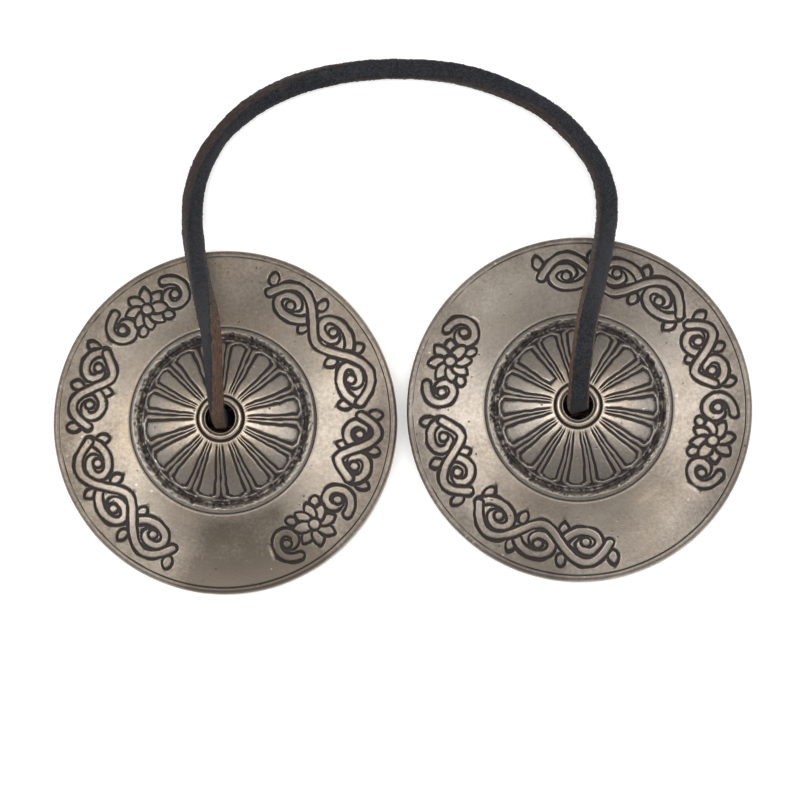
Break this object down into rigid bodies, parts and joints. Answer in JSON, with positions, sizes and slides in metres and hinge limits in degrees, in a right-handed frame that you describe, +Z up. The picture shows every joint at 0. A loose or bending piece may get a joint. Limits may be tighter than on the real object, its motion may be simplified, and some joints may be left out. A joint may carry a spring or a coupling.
{
  "type": "finger cymbals",
  "caption": "Pair of thick cast bronze hand cymbals with domed, petalled bosses and an engraved ornament band, joined by a knotted leather lace.",
  "frame": {"origin": "on the surface the pair rests on, midway between the two disc centres", "axes": "+X from the left disc to the right disc, +Y towards the lace's arch, +Z up along the discs' own axes"},
  "size_m": [0.1318, 0.1018, 0.0278],
  "materials": {
    "left_bronze": "antiqued satin bronze, dark patina in the engraving",
    "right_bronze": "antiqued satin bronze, dark patina in the engraving",
    "leather": "matt blue-black dyed face, raw brown edges"
  },
  "bodies": {
    "lace": {"lace_arch": "leather"},
    "left_hanger": {"left_lace_neck": "leather", "left_lace_knot": "leather", "left_lace_tail": "leather"},
    "right_hanger": {"right_lace_neck": "leather", "right_lace_knot": "leather", "right_lace_tail": "leather"},
    "left_disc": {"left_cymbal": "left_bronze"},
    "right_disc": {"right_cymbal": "right_bronze"}
  },
  "joints": [
    {"name": "left_tip", "type": "hinge", "parent": "lace", "child": "left_hanger", "pos_m": [-0.0397, 0.0416, 0.0044], "axis": [-1, 0, 0], "range_deg": [0, 75]},
    {"name": "right_tip", "type": "hinge", "parent": "lace", "child": "right_hanger", "pos_m": [0.038, 0.044, 0.0044], "axis": [-1, 0, 0], "range_deg": [0, 75]},
    {"name": "left_spin", "type": "hinge", "parent": "left_hanger", "child": "left_disc", "pos_m": [-0.0334, -0.00123, 0.0115], "axis": [0, 0, 1], "continuous": true},
    {"name": "right_spin", "type": "hinge", "parent": "right_hanger", "child": "right_disc", "pos_m": [0.0334, 0.00123, 0.0115], "axis": [0, 0, 1], "continuous": true}
  ]
}
